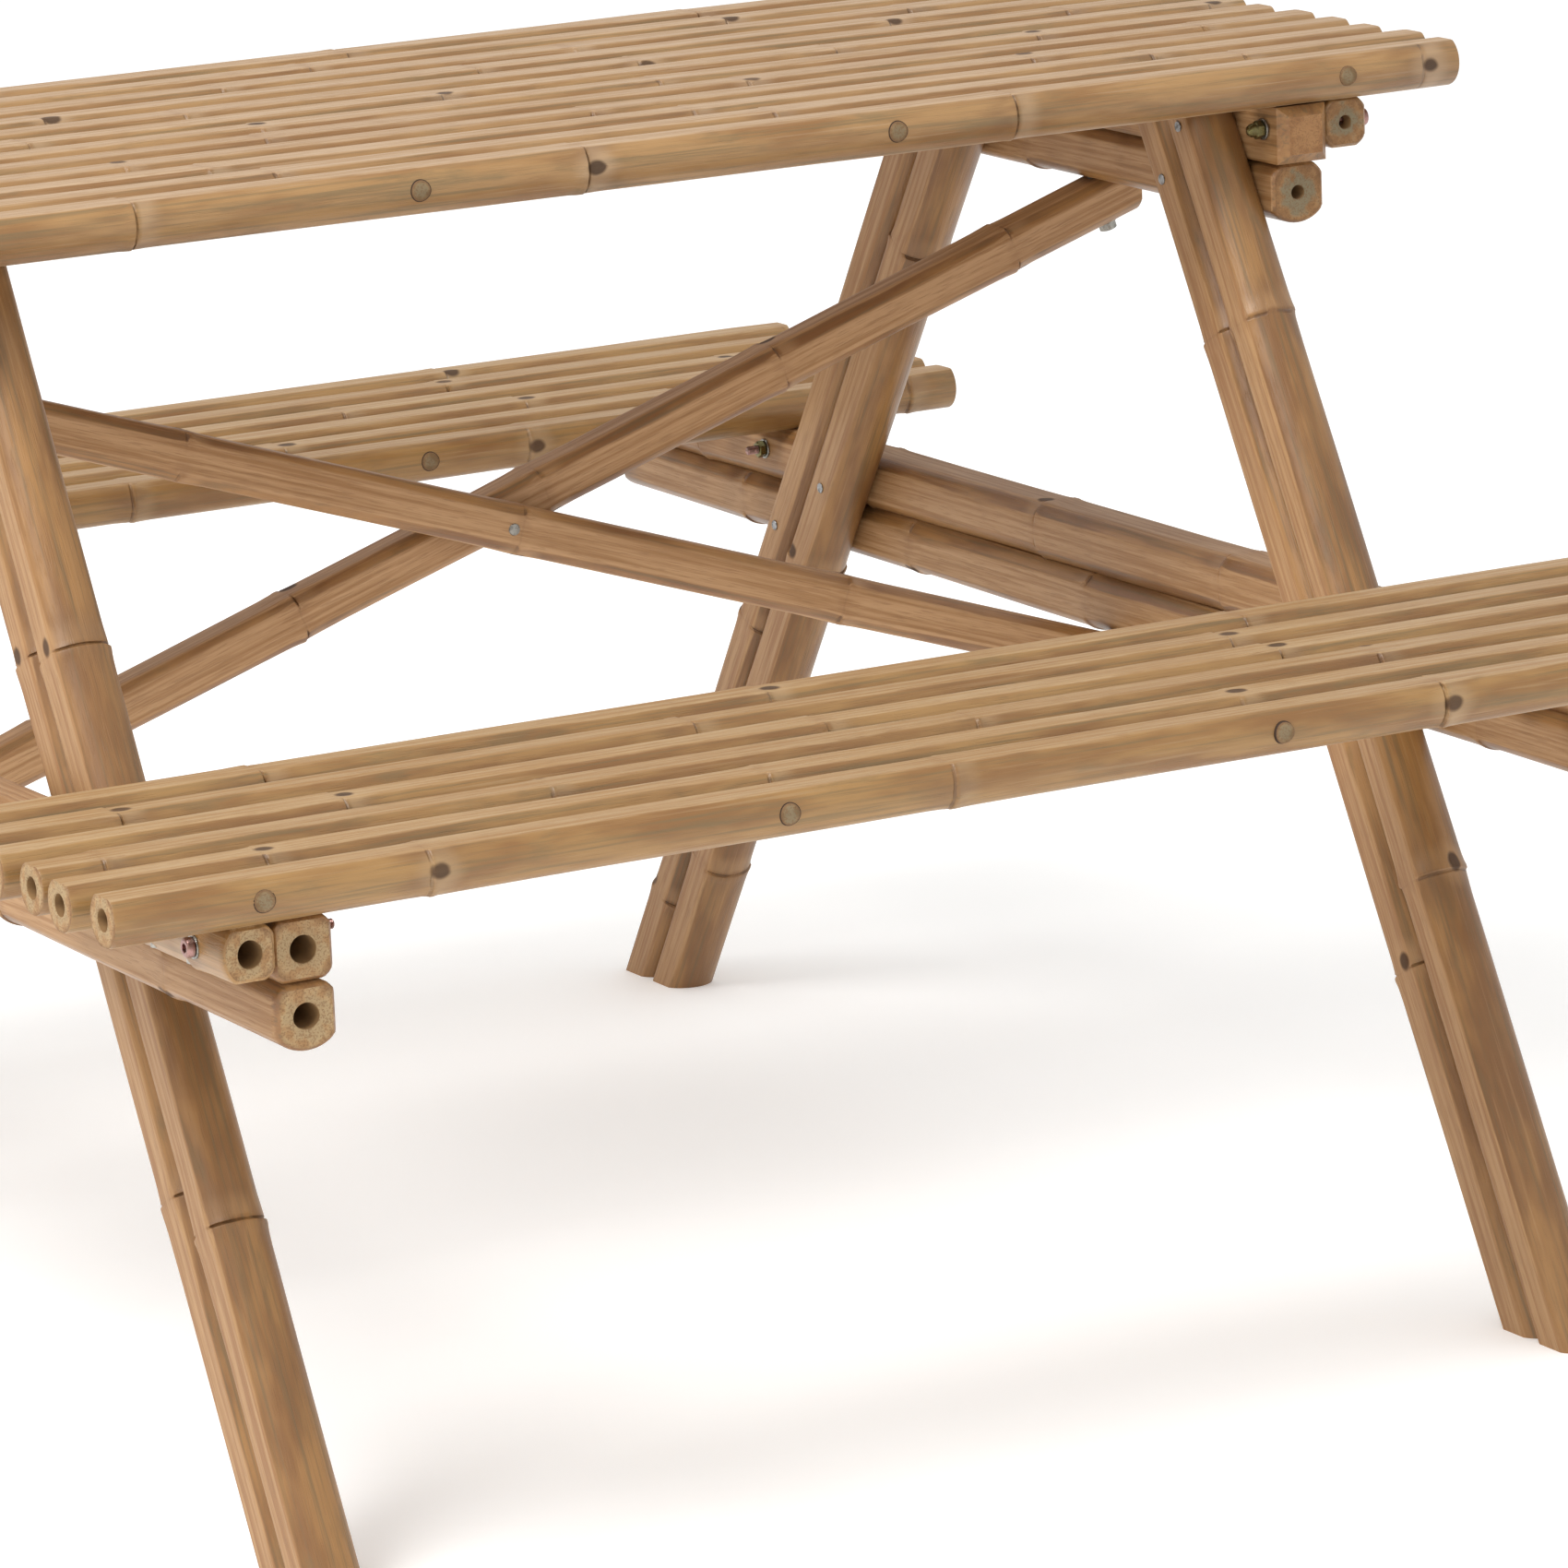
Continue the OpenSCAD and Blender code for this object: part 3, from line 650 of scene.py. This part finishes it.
for side in ("left", "right"):
    against = "+y" if side == "right" else "-y"
    crosspiece("top_batten_" + side, "batten_cane", 4.4 * MM, ALL_ROUND, end=grey_end)
    crosspiece("front_batten_" + side, "batten_cane", 8 * MM, ("+z", "-z", against))
    crosspiece("rear_batten_" + side, "batten_cane", 8 * MM, ("+z", "-z", against))
    crosspiece(side + "_top_bearer_upper", "bearer_cane", 0, ALL_ROUND, 7 * MM, end=tan_end, corner=0.67)
    crosspiece(side + "_top_bearer_lower", "bearer_cane", 4.8 * MM, ("-y", "+y", "+z"),
               slope=math.radians(20), end=grey_end)
    crosspiece(side + "_seat_bearer_upper", "bearer_cane", 8 * MM, ALL_ROUND, 3 * MM)
    crosspiece(side + "_seat_bearer_lower", "bearer_cane", 8 * MM, ("-y", "+y", "+z"), 3 * MM)
print("14 crosspieces")

# %% [markdown]
# # Legs
# Each leg is two squared canes side by side in the plane of the end frame, splayed outwards and
# sawn level at the floor and under the top. The lean isn't stored anywhere, but the box of a
# leaning pole tells it: its depth is the pole's own width over the cosine, plus the height times
# the tangent. Halving an interval finds the angle.

# %% Legs
LEG_BORE = 8 * MM
KNOWN_LEGS = {"right_leg_front_outer": (0.588, 0.371, 1.9), "right_leg_front_inner": (0.575, 0.422, 0.3),
              "left_leg_front_outer": (0.501, 0.349, 3.3), "left_leg_front_inner": (0.492, 0.33, 3.0)}


def lean_of(depth, width, height):
    low, high = 0.0, 1.3
    for _ in range(40):
        guess = (low + high) / 2
        if width / math.cos(guess) + height * math.tan(guess) < depth:
            low = guess
        else:
            high = guess
    return low


def leg(node):
    lo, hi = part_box(node)
    width, height = hi.x - lo.x, hi.z
    way = 1 if lo.y > 0 else -1
    lean = lean_of(hi.y - lo.y, width, height)
    foot = max(abs(lo.y), abs(hi.y)) - width / 2 / math.cos(lean)
    upward = Vector((0, -way * math.sin(lean), math.cos(lean)))
    sideways = Vector((1, 0, 0))
    spare = 2 * width
    start = Vector(((lo.x + hi.x) / 2, way * foot, 0)) - upward * spare
    leaning = Matrix((upward, sideways, upward.cross(sideways))).transposed().to_4x4()
    place = Matrix.Translation(start) @ leaning
    z, spacing, bud = KNOWN_LEGS.get(node, (None, None, None))
    ring = None if z is None else z / math.cos(lean) + spare
    culm = grow(node, height / math.cos(lean) + 2 * spare, ring, spacing, bud)
    bm = cane(culm, width * CORNER, LEG_BORE, depth=spare + 0.07)
    # the two poles of a leg meet on a planed face; the other two planed faces lie along the bearers
    meets = "+z" if ("outer" in node) == (way < 0) else "-z"
    planed = ("-y", "+y", meets)
    square_up(bm, culm, width, planed)
    back = place.inverted()
    saw(bm, back @ Vector((0, 0, 0)), back.to_3x3() @ Vector((0, 0, -1)))
    saw(bm, back @ Vector((0, 0, height)), back.to_3x3() @ Vector((0, 0, 1)))
    keep_cane(node, bm, culm, width * SKINNED, place, "leg_cane", pale_end,
              {letter: width / 2 for letter in planed})
    return math.degrees(lean)


for side in ("left", "right"):
    for end in ("front", "rear"):
        for row in ("outer", "inner"):
            print(side, end, row, "leans", round(leg("%s_leg_%s_%s" % (side, end, row)), 1), "degrees")

# %% [markdown]
# # Crossed braces
# Two canes cross under the middle and tie the end frames together. Each one meets the underside of
# a top bearer at its high end with a long mitre, and passes under the bench bearer at its low end,
# where both tips are cut upright.

# %% Braces
SEAT, BITE, PAST = 10.5 * MM, 17 * MM, 46 * MM
inner_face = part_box("right_seat_bearer_upper")[0].x
top_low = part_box("left_top_bearer_lower")[0].z
seat_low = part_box("left_seat_bearer_lower")[0].z
brace_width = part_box("brace_front")[1].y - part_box("brace_front")[0].y
tilt = math.atan((top_low - seat_low) / (2 * inner_face + BITE + SEAT))
crossing = seat_low + (inner_face + SEAT) * math.tan(tilt) - brace_width / 2 / math.cos(tilt)


def brace(node, side, ring, spacing, bud):
    half = (inner_face + PAST) / math.cos(tilt) + brace_width
    tilted = Matrix.Translation((0, side * brace_width / 2, crossing)) @ Matrix.Rotation(-side * tilt, 4, "Y")
    place = tilted @ Matrix.Translation((-half, 0, 0))
    culm = grow(node, 2 * half, half + ring / math.cos(tilt), spacing, bud)
    bm = cane(culm, brace_width * CORNER, LEG_BORE, depth=brace_width + 0.1)
    square_up(bm, culm, brace_width)
    back = place.inverted()
    saw(bm, back @ Vector((0, 0, top_low)), back.to_3x3() @ Vector((0, 0, 1)))
    for s in (-1, 1):
        saw(bm, back @ Vector((s * (inner_face + PAST), 0, 0)), back.to_3x3() @ Vector((s, 0, 0)))
    flats = {letter: brace_width / 2 for letter in ALL_ROUND}
    return keep_cane(node, bm, culm, brace_width * SKINNED, place, "brace_cane", pale_end, flats)


brace("brace_front", -1, 0.006, 0.243, 4.4)
brace("brace_rear", 1, 0.215, 0.184, 1.2)
print("the braces tilt", round(math.degrees(tilt), 2), "degrees and cross", round(crossing, 3), "m up")

# %% [markdown]
# # Dowels
# Thin canes thread the slats together, and their round ends show on the outermost slats, cut to
# the slat's curve and ringed by a thin dark ring, a painted shadow for the hairline gap round each
# end. The exact model holds the four dowels of a table part as one node, so a helper first finds
# its separate islands and their boxes.

# %% Dowels
def islands(node):
    """The boxes of the separate solids in a node."""
    bm = bmesh.new()
    bm.from_mesh(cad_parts[node].data)
    bmesh.ops.remove_doubles(bm, verts=bm.verts, dist=1e-6)
    left, boxes = set(bm.verts), []
    while left:
        front = [left.pop()]
        corners = []
        while front:
            v = front.pop()
            corners.append(v.co.copy())
            near = [e.other_vert(v) for e in v.link_edges]
            front += [n for n in near if n in left]
            left.difference_update(near)
        boxes.append((Vector([min(c[i] for c in corners) for i in range(3)]),
                      Vector([max(c[i] for c in corners) for i in range(3)])))
    bm.free()
    return sorted(boxes, key=lambda b: tuple(round(n, 4) for n in (*b[0], *b[1])))


def join(parts):
    """One bmesh from several."""
    whole = parts[0]
    for part in parts[1:]:
        scratch = bpy.data.meshes.new("scratch")
        part.to_mesh(scratch)
        part.free()
        whole.from_mesh(scratch)
        bpy.data.meshes.remove(scratch)
    return whole


def dowel(node, index, lo, hi, slat_radius, proud):
    radius, length = (hi.x - lo.x) / 2, hi.y - lo.y
    rim, gap = 0.35 * MM, 0.55 * MM
    half = [(0, 0), (0, radius * 0.5), (0, radius - 2 * rim), (0.3 * rim, radius - 0.7 * rim), (rim, radius),
            (0.7 * MM, radius + 0.1 * MM), (0.7 * MM, radius + gap), (2 * MM, radius + gap),
            (2.2 * MM, radius)]
    culm = grow(node + str(index), length)
    bm = turned(half + [(length - x, r) for x, r in reversed(half)], 32)
    for face in bm.faces:
        middle = face.calc_center_median()
        out, deep = math.hypot(middle.y, middle.z), min(middle.x, length - middle.x)
        # the flange just outside the dowel takes the dark slot, a painted shadow for the gap round it
        if out > radius:
            face.material_index = 2
        elif deep < 0.6 * MM:
            face.material_index = 1
    mark(bm, culm, radius, {})
    for v in bm.verts:
        # follow the round of the slat, a hair proud of it
        curve = slat_radius - math.sqrt(slat_radius ** 2 - min(abs(v.co.z), radius + gap) ** 2)
        if v.co.x < 3 * MM:
            v.co.x += curve - 0.95 * MM - (proud if v.co.x < 0.6 * MM else 0)
        elif v.co.x > length - 3 * MM:
            v.co.x -= curve - 0.95 * MM
    middle = ((lo.x + hi.x) / 2, lo.y, (lo.z + hi.z) / 2)
    bmesh.ops.transform(bm, matrix=Matrix.Translation(middle) @ LAID_ACROSS, verts=bm.verts)
    return bm


for node, radius in (("top_dowels", 16.5 * MM), ("front_dowels", 16 * MM), ("rear_dowels", 16 * MM)):
    found = islands(node)
    made = join([dowel(node, i, lo, hi, radius, 1.2 * MM if (node, i) == ("front_dowels", 2) else 0.0)
                 for i, (lo, hi) in enumerate(found)])
    keep(node + "_cane", made, "dowel_cane", [finishes["dowel_cane"], dowel_end, painted_gap_shadow], node)
    print(node, "at x", [round((lo.x + hi.x) / 2, 3) for lo, hi in found])

# %% [markdown]
# # Bolts, nuts and washers
# Two bolts hold each batten to its bearer. A bolt is one outline: threaded shank, washer face and
# a round head with softened edges. The socket in its head starts as a ring of the lathe outline
# and is pulled out to a hexagon. The nuts under the top are capped, the others are open and show
# the end of the thread.

# %% Bolts
def hexagon(bm, radius, flat):
    """Pulls the ring of vertices at one radius about X out to a hexagon, flat from its middle to a side."""
    for v in bm.verts:
        if abs(math.hypot(v.co.y, v.co.z) - radius) < 1e-5:
            turn = (math.atan2(v.co.z, v.co.y) + math.pi / 6) % (math.pi / 3) - math.pi / 6
            scale = flat / math.cos(turn) / radius
            v.co.y *= scale
            v.co.z *= scale


def along_x(lo, hi, outwards):
    """Puts a piece turned from x = 0 at the inner end of a box, pointing outwards."""
    middle = (lo + hi) / 2
    start = Vector((lo.x if outwards > 0 else hi.x, middle.y, middle.z))
    return Matrix.Translation(start) @ Matrix.Rotation(0 if outwards > 0 else math.pi, 4, "Z")


def bolt(lo, hi):
    length, head, tall, shank = hi.x - lo.x, (hi.z - lo.z) / 2, 4.8 * MM, 3 * MM
    # the bolts in the top end inside their cap nuts
    tip = 5 * MM if lo.z > 0.6 else 0
    outline = [(tip, 0), (tip, shank * 0.7), (tip + 0.6 * MM, shank * 0.93)]
    for k in range(18):
        outline += [(tip + (1 + k) * MM, shank * 0.99), (tip + (1.5 + k) * MM, shank * 0.86)]
    outline += [(tip + 20 * MM, shank), (length - tall, shank), (length - tall, head - 0.5 * MM),
                (length - tall + 0.5 * MM, head),
                (length - 1.4 * MM, head), (length - 0.5 * MM, head - 0.4 * MM), (length, head - 1.3 * MM),
                (length, 3.1 * MM),
                (length - 0.2 * MM, 2.61 * MM), (length - 2.4 * MM, 2.6 * MM), (length - 2.7 * MM, 0)]
    bm = turned(outline, 24)
    hexagon(bm, 2.6 * MM, 2.45 * MM)
    hexagon(bm, 2.61 * MM, 2.5 * MM)
    bmesh.ops.transform(bm, matrix=along_x(lo, hi, 1 if hi.x > 0 else -1), verts=bm.verts)
    return bm


def washer(lo, hi):
    thick, rim, hole = hi.x - lo.x, (hi.z - lo.z) / 2, 3.3 * MM
    outline = [(0.2 * MM, hole), (0, hole + 0.2 * MM), (0, rim - 0.4 * MM), (0.4 * MM, rim),
               (thick - 0.4 * MM, rim),
               (thick, rim - 0.4 * MM), (thick, hole + 0.2 * MM), (thick - 0.2 * MM, hole), (0.2 * MM, hole)]
    bm = turned(outline, 32)
    bmesh.ops.transform(bm, matrix=along_x(lo, hi, 1), verts=bm.verts)
    return bm


bolts = islands("batten_bolts")
keep("bolts_turned", join([bolt(lo, hi) for lo, hi in bolts]), "yellow_zinc", [finishes["pink_zinc"]],
     "batten_bolts")
washers = islands("batten_washers")
keep("washers_turned", join([washer(lo, hi) for lo, hi in washers]), "bright_zinc",
     [finishes["bright_zinc"]], "batten_washers")
print(len(bolts), "bolts and", len(washers), "washers")

# %% Nuts
def nut(lo, hi):
    """A hexagon nut with softened rims; the ones under the top are capped with a dome."""
    thick, wide = hi.x - lo.x, 5.1 * MM
    outline = [(0.2 * MM, 3 * MM), (0, 3.2 * MM), (0, wide * 0.93), (0.45 * MM, wide * 1.001),
               (thick - 0.45 * MM, wide * 1.001)]
    if lo.z > 0.6:
        outline += [(thick, wide * 0.9), (thick + 0.1 * MM, 4.5 * MM), (thick + 2.4 * MM, 4.3 * MM),
                    (thick + 4.4 * MM, 3.1 * MM), (thick + 5.3 * MM, 1.4 * MM), (thick + 5.5 * MM, 0)]
        outline = [(0, 0)] + outline[1:]
    else:
        outline += [(thick, wide * 0.93), (thick, 3.2 * MM), (thick - 0.2 * MM, 3 * MM), (0.2 * MM, 3 * MM)]
    bm = turned(outline, 24)
    hexagon(bm, wide * 1.001, wide)
    # the nuts sit on the inner faces, so they point towards the middle of the table
    bmesh.ops.transform(bm, matrix=along_x(lo, hi, -1 if hi.x > 0 else 1), verts=bm.verts)
    return bm


nuts = islands("batten_nuts")
keep("nuts_turned", join([nut(lo, hi) for lo, hi in nuts]), "yellow_zinc", [finishes["yellow_zinc"]],
     "batten_nuts")
print(len(nuts), "nuts")

# %% [markdown]
# # Nails and the crossing pin
# The legs are nailed to the bearers from inside. One nail at the right front leg bent over under
# the hammer: it is a disc drawn out of the wood, swung round a corner with a part spin, drawn on
# again, and finished with its head. A domed pin holds the braces where they cross.

# %% Nails
def nail(lo, hi):
    length, shank, head = hi.x - lo.x, 1.5 * MM, (hi.z - lo.z) / 2
    outline = [(0, 0), (0, head * 0.6), (0.15 * MM, head * 0.92), (0.5 * MM, head), (1.0 * MM, head * 0.96),
               (1.3 * MM, shank * 1.15),
               (2.4 * MM, shank), (length - 4 * MM, shank), (length, 0)]
    bm = turned(outline, 20)
    bmesh.ops.transform(bm, matrix=along_x(lo, hi, 1 if hi.x > 0 else -1), verts=bm.verts)
    return bm


def bent_nail(lo, hi):
    shank = 1.5 * MM
    bm = bmesh.new()
    bmesh.ops.create_circle(bm, cap_ends=True, segments=16, radius=shank)
    bmesh.ops.rotate(bm, verts=bm.verts, matrix=Matrix.Rotation(-math.pi / 2, 3, "Y"))
    bmesh.ops.translate(bm, verts=bm.verts, vec=(lo.x + 12 * MM, lo.y + shank, (lo.z + hi.z) / 2))

    def drawn(face, move):
        made = bmesh.ops.extrude_face_region(bm, geom=[face])["geom"]
        bmesh.ops.delete(bm, geom=[face], context="FACES_ONLY")
        bmesh.ops.translate(bm, verts=[v for v in made if isinstance(v, bmesh.types.BMVert)], vec=move)
        return next(f for f in made if isinstance(f, bmesh.types.BMFace))

    tip = bm.faces[:][0]
    base = bmesh.ops.duplicate(bm, geom=[tip])
    tip = next(f for f in base["geom"] if isinstance(f, bmesh.types.BMFace))
    tip = drawn(tip, (-6 * MM, 0, 0))
    corner = tip.calc_center_median() + Vector((0, 3 * MM, 0))
    for _ in range(5):
        made = bmesh.ops.extrude_face_region(bm, geom=[tip])["geom"]
        bmesh.ops.delete(bm, geom=[tip], context="FACES_ONLY")
        moved = [v for v in made if isinstance(v, bmesh.types.BMVert)]
        bmesh.ops.rotate(bm, cent=corner, matrix=Matrix.Rotation(math.radians(16.5), 3, "Z"), verts=moved)
        tip = next(f for f in made if isinstance(f, bmesh.types.BMFace))
    heading = (tip.calc_center_median() - corner).cross(Vector((0, 0, 1))).normalized()
    heading = heading if heading.y > 0 else -heading
    tip = drawn(tip, heading * 7 * MM)
    bmesh.ops.remove_doubles(bm, verts=bm.verts, dist=1e-6)
    for grow_by, step in ((2.2, 0.3), (1.1, 0.6), (0.6, 0.35)):
        tip = drawn(tip, heading * step * MM)
        middle = tip.calc_center_median()
        bmesh.ops.scale(bm, vec=(grow_by,) * 3, space=Matrix.Translation(-middle), verts=tip.verts)
    bmesh.ops.recalc_face_normals(bm, faces=bm.faces)
    return bm


nails = islands("nails")
bent = max(nails, key=lambda b: b[1].y - b[0].y)
straight = [b for b in nails if b is not bent]
keep("nails_driven", join([nail(lo, hi) for lo, hi in straight] + [bent_nail(*bent)]), "nail_steel",
     [finishes["nail_steel"]], "nails")
print(len(straight), "straight nails and one bent at", [round(c, 3) for c in bent[0]])

# %% Crossing pin
lo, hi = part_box("crossing_pin")
head, shank, length = (hi.x - lo.x) / 2, 2.5 * MM, hi.y - lo.y
pin = turned([(0, 0), (0.1 * MM, head * 0.5), (0.7 * MM, head * 0.88), (1.5 * MM, head),
              (2.2 * MM, head * 0.97),
              (2.4 * MM, shank), (length - 1 * MM, shank), (length, shank * 0.6), (length, 0)], 28)
pin_middle = ((lo.x + hi.x) / 2, lo.y, (lo.z + hi.z) / 2)
bmesh.ops.transform(pin, matrix=Matrix.Translation(pin_middle) @ LAID_ACROSS, verts=pin.verts)
keep("pin_turned", pin, "bright_zinc", [finishes["bright_zinc"]], "crossing_pin")
print("the pin is", round(length, 3), "m long")

# %% [markdown]
# # Screws that stay as they are
# The brace screws with their washers and the wood screws under the battens already have the right
# shape in the exact model. They keep it and only take on their metal.

# %% Finish the kept nodes
for node, metal in (("brace_screws", "bright_zinc"), ("brace_washers", "bright_zinc"),
                    ("top_batten_screws", "screw_steel"), ("seat_batten_screws", "screw_steel")):
    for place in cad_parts[node].material_slots:
        place.material = finishes[metal]
    print(node, "now has", metal)

# %% [markdown]
# Sizes at the end
# Last, the finished table's box is held against the exact model's, kept from the start, and the
# shift of each corner is printed. They should agree to a millimetre or so.

# %% Sizes and finish
bpy.context.view_layer.update()
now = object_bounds()
for name, before, after in zip(("low", "high"), cad_box, now):
    print(name, "corner moved by", [round((b - a) * 1000, 1) for a, b in zip(before, after)], "mm")
